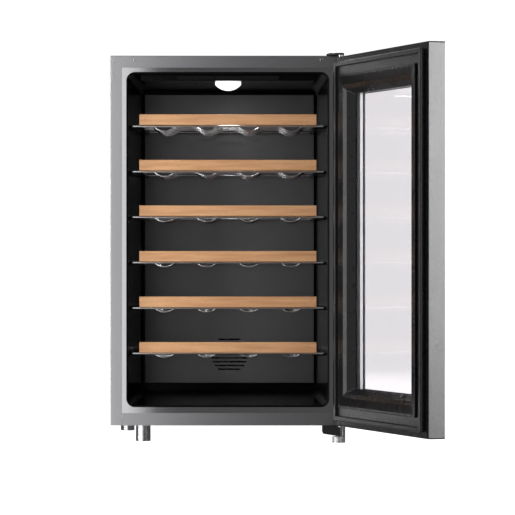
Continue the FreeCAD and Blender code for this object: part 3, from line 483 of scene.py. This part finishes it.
def addCrossCutter(height, look):
    bpy.ops.mesh.primitive_cube_add(size=1, location=(0, 0, height))
    cutter = nameNew("crossCutter")
    cutter.scale = (look["crossLength"], look["crossWidth"], look["crossDepth"] * 2)
    settle(cutter)
    bpy.ops.object.mode_set(mode="EDIT")
    bpy.ops.mesh.select_all(action="SELECT")
    bpy.ops.mesh.bevel(offset=look["crossWidth"] * look["crossRounding"], segments=2)
    bpy.ops.mesh.duplicate()
    bpy.ops.transform.rotate(value=math.radians(90), orient_axis="Z", center_override=(0, 0, height))
    bpy.ops.object.mode_set(mode="OBJECT")
    return cutter


def addScrewHead(look):
    deselectAll()
    height = look["headHeight"]
    cutter = addCrossCutter(height, look)
    deselectAll()
    bpy.ops.mesh.primitive_cylinder_add(vertices=32, radius=look["headRadius"], depth=height,
                                        location=(0, 0, height / 2))
    head = nameNew("screwHead")
    settle(head)
    selectFaces(head, lambda face: face.normal.z > facingUp)
    bpy.ops.mesh.inset(thickness=look["headRadius"] * look["shoulder"])
    bpy.ops.transform.translate(value=(0, 0, height * look["crown"]))
    bpy.ops.object.mode_set(mode="OBJECT")
    rounding = head.modifiers.new("rounding", "BEVEL")
    rounding.width = look["edgeRounding"]
    rounding.segments = 4
    rounding.limit_method = "ANGLE"
    rounding.angle_limit = math.radians(look["edgeAngle"])
    recess = head.modifiers.new("recess", "BOOLEAN")
    recess.operation = "DIFFERENCE"
    recess.object = cutter
    recess.solver = "EXACT"
    recess.use_self = True
    applyModifiers(head)
    bpy.data.objects.remove(cutter, do_unlink=True)
    deselectAll()
    head.select_set(True)
    bpy.context.view_layer.objects.active = head
    bpy.ops.object.shade_smooth_by_angle(angle=math.radians(look["smoothAngle"]))
    return head


def copyScrew(model, name, place, facing, size, turn):
    screw = model.copy()
    screw.data = model.data.copy()
    screw.name = name
    screw.data.name = name
    scene.collection.objects.link(screw)
    way = Vector(facing).to_track_quat("Z", "Y").to_matrix().to_4x4()
    spin = Matrix.Rotation(math.radians(turn), 4, "Z")
    screw.data.transform(Matrix.Translation(place) @ way @ spin @ Matrix.Scale(size, 4))
    screw.data.materials.clear()
    screw.data.materials.append(finishes["screwZinc"])
    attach(screw, "cabinet")
    return screw


# the low and high corners of each solid of a node, told apart by how far its points lie

def separateBoxes(node, reach):
    boxes = []
    for vertex in nodes[node].data.vertices:
        point = vertex.co
        for box in boxes:
            if (box["seed"] - point).length < reach:
                box["low"] = Vector(map(min, box["low"], point))
                box["high"] = Vector(map(max, box["high"], point))
                break
        else:
            boxes.append({"seed": point.copy(), "low": point.copy(), "high": point.copy()})
    return [(box["low"], box["high"]) for box in boxes]


hingeScrewLook = {"size": 1.0, "turnStep": 37}


def addHingeScrews(model):
    for number, (low, high) in enumerate(separateBoxes("hinge_screws", screwLook["groupReach"]), 1):
        place = ((low.x + high.x) / 2, (low.y + high.y) / 2, low.z)
        screw = copyScrew(model, f"hinge_screw_{number}", place, (0, 0, 1),
                           hingeScrewLook["size"], number * hingeScrewLook["turnStep"])
        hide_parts("hinge_screws")


plugLook = {"standOut": 0.0008, "turnStep": 23}  # how far a plug stands out of the sheet


def addHolePlugs(model):
    for number, (low, high) in enumerate(separateBoxes("hinge_hole_plugs", screwLook["groupReach"]), 1):
        size = (high.x - low.x) / 2 / screwLook["headRadius"]
        faceDepth = low.y + plugLook["standOut"]
        place = ((low.x + high.x) / 2, faceDepth, (low.z + high.z) / 2)
        plug = copyScrew(model, f"hole_plug_{number}", place, (0, -1, 0), size,
                         number * plugLook["turnStep"])
        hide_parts("hinge_hole_plugs")


rearScrewLook = {"size": 0.85, "grilleInset": 0.008, "backInset": 0.009, "backRows": 4,
                 "grilleTurn": 51, "backTurn": 29}


def addRearScrews(model):
    low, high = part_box("machine_grille")
    inset = rearScrewLook["grilleInset"]
    columns = (low.x + inset, (low.x + high.x) / 2, high.x - inset)
    number = 0
    for x in columns:
        for z in (low.z + inset, high.z - inset):
            number += 1
            copyScrew(model, f"grille_screw_{number}", (x, high.y, z), (0, 1, 0),
                      rearScrewLook["size"], number * rearScrewLook["grilleTurn"])
    low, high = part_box("back_sheet")
    inset = rearScrewLook["backInset"]
    rows = rearScrewLook["backRows"]
    number = 0
    for x in (low.x + inset, high.x - inset):
        for row in range(rows):
            number += 1
            z = low.z + inset + (high.z - low.z - 2 * inset) * row / (rows - 1)
            copyScrew(model, f"back_screw_{number}", (x, high.y, z), (0, 1, 0),
                      rearScrewLook["size"], number * rearScrewLook["backTurn"])


screwModel = addScrewHead(screwLook)
addHingeScrews(screwModel)
addHolePlugs(screwModel)
addRearScrews(screwModel)
bpy.data.objects.remove(screwModel, do_unlink=True)
print("screws and plugs modelled")


# light of the lamp

def addLampLight():
    low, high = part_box("lamp_lens")
    data = bpy.data.lights.new("lampGlow", "AREA")
    data.shape = "DISK"
    data.size = lampLook["size"]
    data.energy = lampLook["power"]
    light = bpy.data.objects.new("lampGlow", data)
    light.location = ((low.x + high.x) / 2, (low.y + high.y) / 2, low.z - lampLook["drop"])
    light.visible_camera = False
    scene.collection.objects.link(light)


addLampLight()
